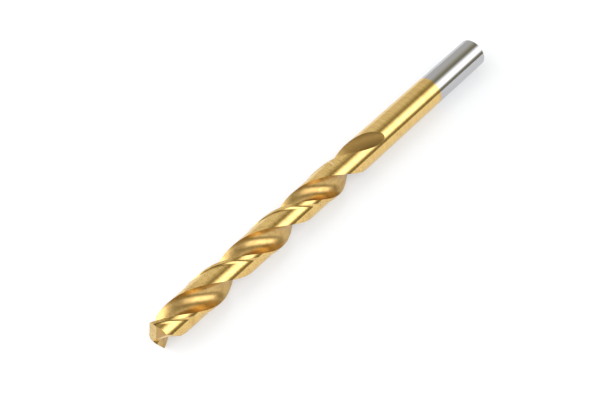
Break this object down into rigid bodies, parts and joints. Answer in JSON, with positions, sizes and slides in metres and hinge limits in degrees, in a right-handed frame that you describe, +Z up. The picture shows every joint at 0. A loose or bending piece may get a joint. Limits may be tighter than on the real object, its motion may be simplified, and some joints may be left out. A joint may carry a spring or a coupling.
{
  "type": "twist drill bit",
  "caption": "Straight-shank twist drill bit with helical flutes, narrow guiding margins and a relieved two-lip point, for drilling round holes.",
  "frame": {"origin": "centre of the flat end face of the shank, on the drill's axis", "axes": "+X along the axis, out of the shank's end; the point is at -X; +Z up as the drill lies on a bench"},
  "size_m": [0.117, 0.008, 0.008],
  "materials": {
    "coated_tool_steel": "ground, gold-coloured hard coating"
  },
  "bodies": {
    "root": {"twist_drill_bit": "coated_tool_steel"}
  },
  "joints": []
}
